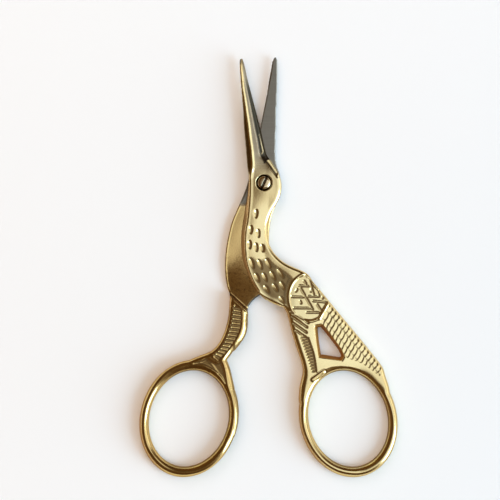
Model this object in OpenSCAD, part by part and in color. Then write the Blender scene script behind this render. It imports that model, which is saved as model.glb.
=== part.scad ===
// Stork embroidery scissors, lying flat and a little open.
// Two cast halves cross at a slotted screw: the front half carries the bird, with its bill as a
// blade, and the back half carries the other blade, the shoulder plate and the second leg.
// X is to the right, Y towards the blade tips, Z up. The origin is on the screw's axis, at the
// underside that the scissors lie on.

/* [Halves] */
// Thickness of each half where the two cross
half_t = 1.6; // [1.3:0.05:2.2]
// Gap between the two ground inner faces
mate_gap = 0.04; // [0.02:0.01:0.08]
// Angle between the blades as the scissors lie, in degrees
open_angle = 16; // [8:1:60]

/* [Blades] */
// Length of the front blade from the screw's axis to the tip
blade_len = 26.4; // [22:0.2:32]
// Thickness of each blade at its tip
tip_t = 0.7; // [0.5:0.05:1]
// Radius of the blunted tips, seen from above
tip_r = 0.34; // [0.2:0.02:0.4]
// Width of the ground bevel behind each cutting edge
edge_bevel_w = 0.5; // [0.3:0.05:0.7]
// Thickness left at each cutting edge
edge_t = 0.15; // [0.1:0.05:0.3]

/* [Screw] */
// Diameter of the domed head
head_d = 2.8; // [2.4:0.1:3.2]
// Height of the head's straight rim
head_rim_t = 0.55; // [0.4:0.05:0.8]
// Rise of the head's dome above its rim
dome_rise = 0.4; // [0.2:0.05:0.6]
// Diameter of the shank
shank_d = 1.8; // [1.4:0.1:2]
// Width of the driver slot
slot_w = 0.42; // [0.3:0.02:0.5]
// Depth of the driver slot below the top of the dome
slot_depth = 0.55; // [0.4:0.05:0.7]
// Way that the driver slot points, in degrees from the X axis
slot_angle = 65; // [0:5:180]
// Radial gap round the head in its recess
head_clearance = 0.25; // [0.1:0.05:0.4]
// Radial gap between the shank and the front half
shank_clearance = 0.04; // [0.02:0.01:0.1]

/* [Finger bows] */
// Half of the bow's long way, at the middle of its tube
bow_long = 11.3; // [9.5:0.1:14]
// Half of the bow's short way, at the middle of its tube
bow_short = 9.2; // [8:0.1:11.5]
// Width of the tube, seen from above
bow_w = 1.95; // [1.6:0.1:2.6]
// Lean of each bow towards the other at its top, in degrees
bow_lean = 16; // [10:1:20]
// Top of the front half's bow, at the middle of its tube
front_bow_top = [14.5, -38.55];
// Top of the back half's bow, at the middle of its tube
back_bow_top = [-12.65, -38.5];

/* [Bird] */
// Depth of the cast ornament below the surface
relief_d = 0.25; // [0.15:0.05:0.4]
// Radius of the wing medallion's rim
wing_r = 4.6; // [4:0.1:4.8]
// Distance between the rows of scales on the tail
scale_row = 1.7; // [1.4:0.1:2]
// Distance between neighbouring scales along a row
scale_pitch = 1.06; // [0.8:0.02:1.4]
// Distance between neighbouring ribs on the legs
rib_pitch = 0.85; // [0.7:0.05:1.2]

/* [Hidden] */
gold = [0.83, 0.69, 0.38];
steel = [0.55, 0.54, 0.51];
total_t = 2 * half_t + mate_gap;
front_z = half_t + mate_gap;
drawn_open = 16;
drawn_blade = 26.4;
point_step = 1.2;
far = 60;
bite = 0.02;
bow_t = total_t - 0.06;
recess_d = head_d + 2 * head_clearance;
recess_depth = head_rim_t;
head_z = total_t - recess_depth + mate_gap;
shank_end = 0.1;
feather_w = 0.95;
feather_rise = 0.1;
// Each feather on the neck and breast: where it is, its length and its tilt
feathers = [
    [-1.75, -6.5, 2, 0], [-2.8, -9.85, 1.9, 0], [-1.25, -10.6, 2, 6], [-3.1, -12.95, 1.9, 4],
    [-1.7, -13.5, 2, 8], [-0.4, -13.7, 1.8, 12], [-2.6, -16.9, 2.5, 20], [-0.9, -17.1, 2.5, 22],
    [0.85, -17, 2.5, 24], [-1.5, -19.9, 2.2, 24], [0.1, -19.8, 2.2, 26], [1.8, -19.5, 2.3, 26],
    [3.4, -19, 2.6, 30], [0.5, -22.3, 2.1, 26], [2.3, -22, 2.2, 26], [3.8, -21.6, 2.2, 28],
    [3.7, -24.6, 2, 28]
];
// The wing: the middle of its oval and the strokes of its fretwork
wing_centre = [9.35, -24.1];
wing_strokes = [
    [[7.3, -21.5], [9.4, -21.6]], [[9.5, -20.3], [10.35, -23.7]], [[9.2, -23.7], [11.6, -23.8]],
    [[7.6, -22], [10.1, -26.6]], [[5.7, -23.8], [8.2, -23.9]], [[6.2, -26.1], [9.5, -26.2]],
    [[8.9, -27.1], [11.6, -27.1]], [[11, -25.4], [12, -27]], [[10.2, -24.7], [13.2, -25]]
];
// The tail: where its outer row of scales begins, the way it runs and the way in from its edge
tail_along = [0.636, -0.771];
tail_in = -[0.771, 0.636];
tail_top = [13.9, -25.9] + tail_in * 0.2;
relief_z = total_t - relief_d;

// A centripetal Catmull-Rom curve through a list of points, open at both ends
function knot(t, a, b) = t + sqrt(norm(b - a));
function lerp_at(a, b, ta, tb, t) = ((tb - t) * a + (t - ta) * b) / (tb - ta);
function curve_at(p, u) =
    let (
        t0 = 0,
        t1 = knot(t0, p[0], p[1]),
        t2 = knot(t1, p[1], p[2]),
        t3 = knot(t2, p[2], p[3]),
        t = t1 + u * (t2 - t1),
        a1 = lerp_at(p[0], p[1], t0, t1, t),
        a2 = lerp_at(p[1], p[2], t1, t2, t),
        a3 = lerp_at(p[2], p[3], t2, t3, t),
        b1 = lerp_at(a1, a2, t0, t2, t),
        b2 = lerp_at(a2, a3, t1, t3, t)
    )
    lerp_at(b1, b2, t1, t2, t);
function curve(points) =
    let (
        n = len(points),
        p = concat([2 * points[0] - points[1]], points, [2 * points[n - 1] - points[n - 2]])
    )
    [
        for (i = [0:n - 2])
            let (steps = max(2, ceil(norm(points[i + 1] - points[i]) / point_step)))
            for (k = [0:steps - 1]) curve_at([p[i], p[i + 1], p[i + 2], p[i + 3]], k / steps),
        points[n - 1]
    ];

// A point of a blade's outline, moved along Y with the blade's length once it is past the boss
boss_y = 5;
function along_blade(p) =
    p[1] <= boss_y
        ? p
        : [p[0], boss_y + (p[1] - boss_y) * (blade_len - boss_y) / (drawn_blade - boss_y)];
function blade_curve(points) = curve([for (p = points) along_blade(p)]);
function tip_arc(centre, from, to) =
    [for (k = [1:5]) let (a = from + (to - from) * k / 6) along_blade(centre) + tip_r * [cos(a), sin(a)]];

// A bow hangs below its top point: t runs from 0 at the right, against the clock
function bow_centre(top, lean) = top - bow_long * [sin(lean), cos(lean)];
function leaning(p, lean) = [p[0] * cos(lean) + p[1] * sin(lean), p[1] * cos(lean) - p[0] * sin(lean)];
function bow_point(top, lean, t) =
    bow_centre(top, lean) + leaning([bow_short * cos(t), bow_long * sin(t)], lean);
function bow_run(top, lean, from, to) =
    [for (k = [0:24]) bow_point(top, lean, from + (to - from) * k / 24)];

// A point of an outline that stays a given distance outside the bow's centre line
function beside_bow(top, lean, t, out) =
    let (n = [bow_long * cos(t), bow_short * sin(t)])
    bow_point(top, lean, t) + out * leaning(n / norm(n), lean);
function beside_front(t, out) = beside_bow(front_bow_top, -bow_lean, t, out);
function beside_back(t, out) = beside_bow(back_bow_top, bow_lean, t, out);

// Outline of the front half, from the tip down its left side and back up its right side
front_tip = [-4.72, 25.62];
front_left = [
    [-5.05, 25.6], [-4.9, 22], [-4.55, 18], [-4.2, 14], [-3.85, 10], [-3.5, 6], [-3.25, 2.5],
    [-3.2, 0], [-3.35, -2.2], [-3.7, -4.4], [-4.1, -6.6], [-4.5, -9], [-4.7, -11.5], [-4.65, -14.2],
    [-4.2, -16.6], [-3.35, -19], [-2.2, -21.5], [-0.6, -23.7], [1.6, -25.1], [4.1, -26.1]
];
front_leg_left = [
    [4.1, -26.1], [4.75, -27.2], [5.3, -29.4], [6.1, -32.4], [7, -35.2], [7.8, -37.6], [8.1, -39.2],
    beside_front(126, 2.4), beside_front(135, 1.9), beside_front(149, 1.2)
];
front_right = [
    beside_front(8, 0.6), beside_front(19, 1.4), beside_front(30, 2.2), [24.9, -38.8]
];
front_back = [
    [24.9, -38.8], [24.1, -37.6], [20, -32.5], [16, -27.7], [12, -22.8], [10.2, -20.6], [9.2, -19.2],
    [7.9, -18.4], [6.2, -17.7], [4.4, -16.8], [2.8, -15.5], [1.5, -13.8], [0.8, -11.8], [0.65, -9.8],
    [0.9, -7.8], [1.6, -6], [2.6, -4.4], [3.35, -2.8], [3.65, -1.1], [3.5, 0.6], [3, 2.1]
];
front_heel = [
    [3, 2.1], [2.2, 3.3], [1.3, 4.7]
];
front_edge = [
    [1.3, 4.7], [0.55, 5.9], [-0.4, 9.8], [-1.45, 14], [-2.5, 18], [-3.55, 22], [-4.4, 25.5]
];
leg_window = [
    [10.7, -29.95], [12.1, -29.7], [13.6, -31.5], [14.9, -33.2], [16.1, -34.9], [16.7, -36.3],
    [16.2, -37.1], [13.6, -36.7], [11.5, -36.4], [11, -33]
];

module front_outline() {
    difference() {
        polygon(concat(
            blade_curve(front_left),
            curve(front_leg_left),
            bow_run(front_bow_top, -bow_lean, 165, 0),
            curve(front_right),
            curve(front_back),
            blade_curve(front_heel),
            blade_curve(front_edge),
            tip_arc(front_tip, 10, 170)
        ));
        polygon(leg_window);
    }
}

// Outline of the back half, from the tip down its right side and back up its left side
back_tip = [2.3, 25.95];
back_right = [
    [2.64, 25.9], [2.72, 22], [2.65, 17], [2.5, 12], [2.3, 8.5], [2.25, 6], [2.5, 4], [3.1, 2.2],
    [3.5, 0.6], [3.6, -1.1], [3.3, -2.8], [2.5, -4.6], [1.7, -6.6], [1.2, -9], [1, -12], [1.2, -15],
    [1.7, -18], [1.9, -20.5], [1.3, -22.3], [-0.6, -23.4]
];
back_notch = [
    [-0.6, -23.4], [-1.7, -24.1], [-2.7, -25.1], [-3.4, -26.2]
];
back_leg_right = [
    [-3.4, -26.2], [-3.5, -28.4], [-3.6, -30.4], [-4.1, -32.1], [-5.3, -33.9], [-6.6, -35.5],
    [-7.8, -37.1]
];
back_foot_right = [
    [-7.8, -37.1], beside_back(65, 2.8), beside_back(56, 1.9), beside_back(45, 1.15), beside_back(34, 0.6)
];
back_foot_left = [
    beside_back(142, 0.5), beside_back(127, 0.6), beside_back(109, 1.1), [-13.2, -36.1],
    [-11.2, -35.3], [-10, -34.3],
    [-9, -32.8], [-8.2, -30.9], [-7.6, -28.6], [-7.3, -26], [-7.2, -23.3]
];
back_plate_left = [
    [-7.2, -23.3], [-7.7, -21.9], [-8.1, -19.5], [-8.2, -17], [-8, -14.2], [-7.5, -11.2],
    [-6.7, -8.1], [-5.6, -5.5], [-4.5, -3], [-3.6, -0.6], [-3.1, 1.4]
];
back_edge = [
    [-3.1, 1.4], [-2.4, 4.2], [-1.7, 7.5], [-0.8, 11.5], [0, 15.5], [0.8, 19.5], [1.5, 23],
    [1.96, 25.9]
];

module back_outline() {
    polygon(concat(
        blade_curve(back_right),
        curve(back_notch),
        curve(back_leg_right),
        curve(back_foot_right),
        bow_run(back_bow_top, bow_lean, 15, 155),
        curve(back_foot_left),
        curve(back_plate_left),
        blade_curve(back_edge),
        tip_arc(back_tip, 170, 10)
    ));
}

// The half plane to the left of the line from a to b
module left_of(a, b) {
    translate(a) rotate(atan2(b[1] - a[1], b[0] - a[0])) translate([-far, 0]) square([2 * far, far]);
}

// The finger bow: a tube of oval section swept round its centre line. The sides are a little
// narrower than the ends, as the photographed bows are
bow_sides = 12;
bow_rings = 64;
module bow(top, lean) {
    points = [
        for (i = [0:bow_rings - 1])
            let (
                t = 360 * (i + 0.5) / bow_rings,
                w = bow_w * (1.07 - 0.07 * cos(2 * t)) / 2
            )
            for (k = [0:bow_sides - 1])
                let (
                    a = 360 * (k + 0.5) / bow_sides,
                    p = beside_bow(top, lean, t, w * cos(a) / cos(180 / bow_sides))
                )
                [p[0], p[1], total_t / 2 + bow_t / 2 * sin(a) / cos(180 / bow_sides)]
    ];
    faces = [
        for (i = [0:bow_rings - 1], k = [0:bow_sides - 1])
            let (
                j = (i + 1) % bow_rings,
                m = (k + 1) % bow_sides,
                q = [i * bow_sides + k, i * bow_sides + m, j * bow_sides + m, j * bow_sides + k]
            )
            each [[q[0], q[1], q[2]], [q[0], q[2], q[3]]]
    ];
    polyhedron(points, faces);
}

// A wedge that planes a blade's outer face down: its lower face goes through the points a and b,
// which have heights, and falls to their left by a slope in degrees. It runs on past both points
module plane_off(a, b, slope, before, after) {
    run = norm([b[0] - a[0], b[1] - a[1]]);
    translate(a)
        rotate([0, 0, atan2(b[1] - a[1], b[0] - a[0])])
            rotate([0, -atan2(b[2] - a[2], run), 0])
                rotate([-slope, 0, 0])
                    translate([-before, -8, 0]) cube([run + before + after, 20, 8]);
}

// Everything that is ground off a blade's outer face, for a blade whose inner face is at z = 0 and
// whose cutting edge is on its right: a ridge, a steep flank behind it that runs out on the neck,
// and the cutting bevel
module ground_face(heel, tip, neck, edge_heel, edge_tip) {
    flank = 52;
    bevel = atan2(half_t - edge_t, edge_bevel_w + 0.9);
    plane_off([heel[0], heel[1], half_t], [tip[0], tip[1], tip_t], flank, 0, 4);
    plane_off([neck[0], neck[1], half_t], [heel[0], heel[1], half_t], flank, 1, 0);
    plane_off([tip[0], tip[1], tip_t], [heel[0], heel[1], half_t], 2.5, 4, 2.5);
    plane_off(
        [edge_tip[0] - 0.3 * edge_bevel_w, edge_tip[1], tip_t * 0.85],
        [edge_heel[0] - edge_bevel_w, edge_heel[1], half_t * 0.9],
        bevel, 4, 0
    );
}

// A raised feather, drawn as a drop with its point down
module feather(at, length, tilt) {
    translate([at[0], at[1], relief_z - bite]) rotate(tilt)
        linear_extrude(relief_d + feather_rise + bite)
            polygon([
                for (k = [0:9])
                    let (a = 36 * k)
                    [sin(a) * feather_w / 2 * (1 + 0.25 * cos(a)), cos(a) * length / 2]
            ]);
}

// A straight stroke from a to b
module stroke(a, b, w) {
    translate(a) rotate(atan2(b[1] - a[1], b[0] - a[0])) translate([0, -w / 2]) square([norm(b - a), w]);
}

// A groove of the given width and length across a point, turned by an angle
module groove(at, angle, length, w) {
    translate([at[0], at[1], relief_z]) rotate(angle)
        translate([-length / 2, -w / 2, 0]) cube([length, w, 2]);
}

module breast_ground() {
    polygon(concat(
        curve([[-3.6, -15.2], [-1.8, -15.6], [0.9, -15.6], [2.3, -17.1], [4.6, -18.5], [6, -19.9]]),
        curve([[5.1, -21.6], [4.6, -23.8], [4.7, -25.4]]),
        curve([[3.7, -25.3], [1.4, -24.4], [-0.4, -23], [-1.8, -21], [-2.9, -18.6], [-3.6, -16.5]])
    ));
}

module medallion() {
    translate([0, 0, relief_z - bite]) linear_extrude(relief_d + feather_rise + bite) intersection() {
        difference() {
            translate(wing_centre) rotate(8) scale([0.87, 1]) circle(wing_r, $fn = 60);
            translate(wing_centre) rotate(8) scale([0.87, 1]) circle(wing_r - 0.4, $fn = 60);
        }
        front_outline();
        left_of([11.7, -28.3], [13.6, -24.9]);
    }
    for (s = wing_strokes)
        translate([0, 0, total_t - bite]) linear_extrude(feather_rise + bite)
            stroke(s[0], s[1], 0.4);
}

// The scales of the tail: grooves along its rows and, between the rows, grooves across
module scale_grooves() {
    for (row = [0:2]) {
        from = tail_top + tail_in * scale_row * row;
        count = floor((row == 0 ? 15.2 : row == 1 ? 14.4 : 12.2) / scale_pitch);
        start = row == 2 ? 4 : 0.6;
        for (k = [ceil(start / scale_pitch):count])
            groove(from + tail_along * scale_pitch * k + tail_in * scale_row / 2, 63, scale_row * 0.8, 0.3);
        groove(from + tail_along * 8 + tail_in * scale_row, atan2(tail_along[1], tail_along[0]), 15, 0.2);
    }
}

module front_ribs() {
    path = [[8.2, -32.4], [9.5, -36.2], [10.6, -39.6]];
    for (k = [0:floor(7.4 / (rib_pitch * 0.72))])
        let (u = k * rib_pitch * 0.72 / 7.4)
        groove(path[0] + (path[2] - path[0]) * u, 18, 1.5, 0.3);
    for (s = [[[5.7, -27.7], [8.9, -29.8]], [[6.1, -29.2], [8.9, -31]], [[6.5, -30.7], [8.7, -32.1]]])
        translate([0, 0, relief_z]) linear_extrude(2) stroke(s[0], s[1], 0.35);
}

module back_ribs() {
    path = curve([[-5.7, -25.6], [-5.8, -28.3], [-6.3, -30.9], [-7.4, -33.2], [-9.4, -35.5]]);
    n = len(path);
    count = floor(10.8 / rib_pitch);
    for (k = [0:count])
        let (
            u = k / count * (n - 1.001),
            i = floor(u),
            along = path[i + 1] - path[i]
        )
        groove(path[i] + along * (u - i), atan2(along[1], along[0]) + 90, 1.9, rib_pitch * 0.4);
}

module front_half() {
    color(gold)
    union() {
        difference() {
            union() {
                translate([0, 0, front_z]) linear_extrude(half_t) front_outline();
                linear_extrude(front_z + bite) intersection() {
                    front_outline();
                    left_of([30, -13], [3.9, -26.2]);
                }
                bow(front_bow_top, -bow_lean);
            }
            translate([0, 0, -1]) cylinder(d = shank_d + 2 * shank_clearance, h = total_t + 2, $fn = 64);
            translate([0, 0, total_t - recess_depth]) cylinder(d = recess_d, h = 2, $fn = 64);
            translate([0, 0, front_z])
                ground_face(
                    [-2.35, boss_y], along_blade(front_tip), [-3.35, -2.6],
                    [0.9, boss_y], along_blade([-4.2, 25])
                );
            translate([0, 0, relief_z]) linear_extrude(2) breast_ground();
            scale_grooves();
            front_ribs();
        }
        for (f = feathers) feather([f[0], f[1]], f[2], f[3]);
        medallion();
    }
}

module back_half() {
    color(gold)
    rotate([0, 0, drawn_open - open_angle])
    difference() {
        union() {
            linear_extrude(half_t) back_outline();
            linear_extrude(total_t) intersection() {
                back_outline();
                left_of([-3.4, -26.5], [-7.3, -22.9]);
            }
            bow(back_bow_top, bow_lean);
        }
        translate([0, 0, -1]) cylinder(d = shank_d, h = total_t + 2, $fn = 64);
        translate([0, 0, half_t]) mirror([0, 0, 1]) mirror([1, 0, 0])
            ground_face(
                [-1.5, boss_y], flip(along_blade(back_tip)), [-3.6, -0.8],
                [2.2, boss_y], along_blade([-2, 25])
            );
        back_ribs();
    }
}
function flip(p) = [-p[0], p[1]];

module pivot_screw() {
    bulge_r = (head_d * head_d / 4 + dome_rise * dome_rise) / (2 * dome_rise);
    color(steel)
    rotate([0, 0, drawn_open - open_angle])
    difference() {
        union() {
            translate([0, 0, shank_end]) cylinder(d = shank_d, h = head_z - shank_end + bite, $fn = 64);
            translate([0, 0, head_z]) intersection() {
                cylinder(d = head_d, h = head_rim_t + dome_rise, $fn = 64);
                translate([0, 0, head_rim_t + dome_rise - bulge_r]) sphere(bulge_r, $fn = 64);
            }
        }
        translate([0, 0, head_z + head_rim_t + dome_rise - slot_depth]) rotate(slot_angle)
            translate([-head_d, -slot_w / 2, 0]) cube([2 * head_d, slot_w, 2]);
    }
}

front_half();
back_half();
pivot_screw();
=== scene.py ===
"""Looks of the stork embroidery scissors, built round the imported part."""

import math
from types import SimpleNamespace

import bpy
import numpy as np
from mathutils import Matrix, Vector


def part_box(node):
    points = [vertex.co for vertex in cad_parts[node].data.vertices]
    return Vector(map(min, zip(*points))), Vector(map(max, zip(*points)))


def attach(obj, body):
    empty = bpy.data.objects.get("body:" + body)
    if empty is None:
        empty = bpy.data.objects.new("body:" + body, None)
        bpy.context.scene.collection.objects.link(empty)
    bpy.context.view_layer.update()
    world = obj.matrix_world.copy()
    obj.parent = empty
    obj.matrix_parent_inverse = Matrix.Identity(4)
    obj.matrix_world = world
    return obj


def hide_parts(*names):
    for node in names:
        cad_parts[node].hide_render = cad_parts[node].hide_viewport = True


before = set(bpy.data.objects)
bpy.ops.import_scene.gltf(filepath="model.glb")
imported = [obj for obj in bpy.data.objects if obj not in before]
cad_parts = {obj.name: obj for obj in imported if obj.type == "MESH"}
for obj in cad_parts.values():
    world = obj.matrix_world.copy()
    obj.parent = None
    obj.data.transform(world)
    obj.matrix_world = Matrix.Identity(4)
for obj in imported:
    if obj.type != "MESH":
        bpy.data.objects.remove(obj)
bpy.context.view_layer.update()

# Lengths are in millimetres up to the point where a mesh is written.
MM = 0.001
# the cells in which each piece's surface is drawn
CELL_FRONT = (0.136, 0.136, 0.2)
CELL_BACK = (0.125, 0.125, 0.2)
CELL_SCREW = (0.07, 0.07, 0.08)
# the step of the plan's grid, and the depth up to which distance from the outline is known
FINE = 0.06
BAND = 2.4
# the height of both halves together, of the lower one, and of the upper one's inner face
TOP = 3.24
HALF = 1.6
INNER = 1.64
# a height above everything
FAR = 9.0
# the exponent of a rounded edge: 2 is a circle, more is squarer
SQUARE = 2.15
# the width of a knife-like edge's rounding
KEEN = 0.06
# the round recess for the screw's head, and the screw
RECESS = 1.62
SHANK = 0.9
SLOT_TURN = 65
SLOT_WIDTH = 0.36
SLOT_DEPTH = 0.5


# Curves and outlines


def curve(points, step=0.15):
    """A centripetal Catmull-Rom curve through the points, open at both ends."""
    p = np.asarray(points, float)
    p = np.vstack([2 * p[0] - p[1], p, 2 * p[-1] - p[-2]])
    out = []
    for i in range(1, len(p) - 2):
        a, b, c, d = p[i - 1 : i + 3]
        gaps = [np.linalg.norm(b - a), np.linalg.norm(c - b), np.linalg.norm(d - c)]
        k = np.sqrt(np.maximum(gaps, 1e-9))
        t0, t1 = 0.0, k[0]
        t2 = t1 + k[1]
        t3 = t2 + k[2]
        n = max(1, math.ceil(gaps[1] / step))
        t = (t1 + (t2 - t1) * np.arange(n) / n)[:, None]
        a1 = (t1 - t) / (t1 - t0) * a + (t - t0) / (t1 - t0) * b
        a2 = (t2 - t) / (t2 - t1) * b + (t - t1) / (t2 - t1) * c
        a3 = (t3 - t) / (t3 - t2) * c + (t - t2) / (t3 - t2) * d
        b1 = (t2 - t) / (t2 - t0) * a1 + (t - t0) / (t2 - t0) * a2
        b2 = (t3 - t) / (t3 - t1) * a2 + (t - t1) / (t3 - t1) * a3
        out.append((t2 - t) / (t2 - t1) * b1 + (t - t1) / (t2 - t1) * b2)
    out.append(p[-2][None])
    return np.vstack(out)


def slice_loops(node, z, fewest=8):
    """The closed outlines in which the plane at height z cuts a node of the frame."""
    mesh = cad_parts[node].data
    mesh.calc_loop_triangles()
    v = np.empty(len(mesh.vertices) * 3)
    mesh.vertices.foreach_get("co", v)
    v = v.reshape(-1, 3) / MM
    t = np.empty(len(mesh.loop_triangles) * 3, int)
    mesh.loop_triangles.foreach_get("vertices", t)
    t = t.reshape(-1, 3)
    above = v[t][:, :, 2] - z
    crossed = (above.min(1) < 0) & (above.max(1) > 0)
    ends = {}
    for corners, high in zip(t[crossed], above[crossed]):
        cut = []
        for i in range(3):
            j = (i + 1) % 3
            if high[i] * high[j] < 0:
                a, b = v[corners[i]], v[corners[j]]
                cut.append((a + (b - a) * high[i] / (high[i] - high[j]))[:2])
        if len(cut) == 2:
            keys = [tuple(np.round(c, 3)) for c in cut]
            if keys[0] != keys[1]:
                ends.setdefault(keys[0], []).append(keys[1])
                ends.setdefault(keys[1], []).append(keys[0])
    loops, left = [], dict(ends)
    while left:
        start = next(iter(left))
        loop, before, here = [start], None, start
        while True:
            after = [k for k in left.pop(here, []) if k != before]
            after = [k for k in after if k in left or k == start]
            if not after:
                break
            before, here = here, after[0]
            if here == start:
                break
            loop.append(here)
        if len(loop) > fewest:
            loops.append(np.array(loop, float))
    return loops


def thin_out(points, flat=0.0015, close=0.04):
    """The closed loop without points that lie on a straight run or crowd the one before."""
    keep = list(points)
    i = 0
    while i < len(keep):
        a, b, c = keep[i - 1], keep[i], keep[(i + 1) % len(keep)]
        ab, cb = b - a, c - b
        off = abs(ab[0] * cb[1] - ab[1] * cb[0]) / max(np.linalg.norm(c - a), 1e-9)
        if off < flat or np.linalg.norm(ab) < close:
            keep.pop(i)
            i = 0
        else:
            i += 1
    return np.array(keep)


def smooth_loop(loop, corner=28.0, step=0.12):
    """The loop rounded through its points, except at real corners."""
    p = thin_out(loop)
    ab = p - np.roll(p, 1, axis=0)
    bc = np.roll(p, -1, axis=0) - p
    turn = np.degrees(np.abs(np.arctan2(ab[:, 0] * bc[:, 1] - ab[:, 1] * bc[:, 0], (ab * bc).sum(1))))
    corners = [i for i in range(len(p)) if turn[i] > corner]
    if not corners:
        fine = curve(np.vstack([p[-3:], p, p[:4]]), step)
        # one whole turn, from the first point back to itself
        middle = len(fine) // 2
        first = int(np.argmin(np.linalg.norm(fine[:middle] - p[0], axis=1)))
        last = middle + int(np.argmin(np.linalg.norm(fine[middle:] - p[0], axis=1)))
        return fine[first:last]
    out = []
    for a, b in zip(corners, corners[1:] + [corners[0] + len(p)]):
        run = np.array([p[i % len(p)] for i in range(a, b + 1)])
        out.append(curve(run, step)[:-1] if len(run) > 2 else run[:-1])
    return np.vstack(out)


# Fields over the plan


class Plan:
    """Fields on a fine grid over the plan of one piece."""

    def __init__(self, loops):
        pts = np.vstack(loops)
        lo, hi = pts.min(0) - 0.6, pts.max(0) + 0.6
        self.x = np.arange(lo[0], hi[0], FINE)
        self.y = np.arange(lo[1], hi[1], FINE)
        self.X, self.Y = np.meshgrid(self.x, self.y, indexing="ij")
        self.loops = loops
        d = np.full(self.X.shape, BAND)
        for loop in loops:
            d = np.minimum(d, self.path(loop, BAND, True))
        d = np.where(self.inside(loops), d, -d)
        self.d = blur(d, 2)

    def window(self, lo, hi):
        """The part of the grid between two corners."""
        i = slice(*np.clip(np.searchsorted(self.x, (lo[0], hi[0])), 0, len(self.x)))
        j = slice(*np.clip(np.searchsorted(self.y, (lo[1], hi[1])), 0, len(self.y)))
        return i, j

    def path(self, points, band, closed=False):
        """Distance to a run of segments, out to the band's width."""
        p = np.asarray(points, float)
        q = np.roll(p, -1, axis=0) if closed else p[1:]
        p = p if closed else p[:-1]
        out = np.full(self.X.shape, float(band))
        for a, b in zip(p, q):
            w = self.window(np.minimum(a, b) - band, np.maximum(a, b) + band)
            x, y = self.x[w[0]][:, None], self.y[w[1]][None]
            e = b - a
            t = np.clip(((x - a[0]) * e[0] + (y - a[1]) * e[1]) / max(e @ e, 1e-12), 0, 1)
            dist = np.hypot(x - a[0] - t * e[0], y - a[1] - t * e[1])
            out[w] = np.minimum(out[w], dist)
        return out

    def inside(self, loops):
        """Where the grid's points lie inside an odd number of the loops."""
        cross = np.zeros(self.X.shape, int)
        for loop in loops:
            for a, b in zip(loop, np.roll(loop, -1, axis=0)):
                lo, hi = sorted((a[1], b[1]))
                j0, j1 = np.searchsorted(self.y, (lo, hi))
                if j1 > j0:
                    ys = self.y[j0:j1]
                    xs = a[0] + (ys - a[1]) * (b[0] - a[0]) / (b[1] - a[1])
                    i = np.searchsorted(self.x, xs)
                    for k, c in zip(range(j0, j1), i):
                        if c < len(self.x):
                            cross[c, k] += 1
        return np.cumsum(cross, axis=0) % 2 == 1

    def area(self, points, soft):
        """1 inside the closed outline and 0 outside, easing over soft millimetres inside its edge."""
        d = self.path(points, soft, True)
        return np.where(self.inside([np.asarray(points, float)]), ease(d / soft), 0.0)

    def sample(self, field, x, y):
        """The field at any places, between the grid's points."""
        i = np.clip((x - self.x[0]) / FINE, 0, len(self.x) - 1.001)
        j = np.clip((y - self.y[0]) / FINE, 0, len(self.y) - 1.001)
        a, b = i.astype(int), j.astype(int)
        u, v = i - a, j - b
        low = field[a, b] * (1 - u) + field[a + 1, b] * u
        high = field[a, b + 1] * (1 - u) + field[a + 1, b + 1] * u
        return low * (1 - v) + high * v


def blur(field, times):
    """The field smoothed over its neighbours."""
    f = field.copy()
    for _ in range(times):
        f[1:-1] = (f[:-2] + 2 * f[1:-1] + f[2:]) / 4
        f[:, 1:-1] = (f[:, :-2] + 2 * f[:, 1:-1] + f[:, 2:]) / 4
    return f


def waves(X, Y, seed):
    """Gentle unevenness of a cast and polished face."""
    rng = np.random.default_rng(seed)
    out = np.zeros(X.shape)
    for _ in range(9):
        turn, phase = rng.uniform(0, 2 * math.pi, 2)
        k = rng.uniform(0.5, 1.5)
        out += np.sin(k * (X * math.cos(turn) + Y * math.sin(turn)) + phase) / k
    return 0.006 * out


def ease(t):
    """0 below 0 and 1 above 1, with a soft start and end."""
    t = np.clip(t, 0, 1)
    return t * t * (3 - 2 * t)


def slope_in(y, start, width):
    """How far y is past the start, with a soft onset."""
    t = np.clip(y - start, 0, None)
    return np.where(t < width, t * t / (2 * width), t - width / 2)


def along(points, y):
    """x of a curve that runs up or down the plan, at each y."""
    c = curve(points, 0.1)
    c = c[np.argsort(c[:, 1])]
    return np.interp(y, c[:, 1], c[:, 0])


def soft_min(a, b, k):
    """The lower of two heights, blended where they are within k of each other."""
    h = np.clip(0.5 + 0.5 * (b - a) / k, 0, 1)
    return b * (1 - h) + a * h - k * h * (1 - h)


def blade_thickness(y):
    """Thickness of either blade, which falls towards the tip."""
    return HALF - 0.0445 * slope_in(y, 1.0, 6.0)


# Ornament


def hollows(plan, feathers, H, depth=0.3):
    """Feathers: hollows like drops, point down, with a long wall on the left and a steep one opposite."""
    for x0, y0, length, tilt in feathers:
        r = length * 0.75
        w = plan.window((x0 - r, y0 - r), (x0 + r, y0 + r))
        x, y = plan.X[w] - x0, plan.Y[w] - y0
        t = math.radians(tilt)
        u = (-math.sin(t) * x + math.cos(t) * y) / (length / 2)
        wide = 0.47 * (1 + 0.25 * u)
        v = (math.cos(t) * x + math.sin(t) * y) / wide
        inside = np.clip(1 - u * u - v * v, 0, 1)
        chord = np.sqrt(np.clip(1 - u * u, 0, 1))
        floor = depth * np.clip((v + chord) / 1.5, 0, 1)
        wall = 0.9 * wide * np.clip(chord - v, 0, 2)
        H[w] -= np.minimum(floor, wall) * ease(inside * 4)


def grooves(plan, strokes, H, depth, width):
    """Grooves along straight strokes, with steep sides and round ends."""
    for stroke in strokes:
        d = plan.path(np.array(stroke, float), width)
        H -= depth * ease((width - d) / (width * 0.75))


def ridges(plan, points, H, height, width):
    """A rounded ridge along a curve, standing on whatever is there."""
    d = plan.path(curve(points), width)
    H += height * np.clip(1 - (d / width) ** 2, 0, 1)


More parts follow.
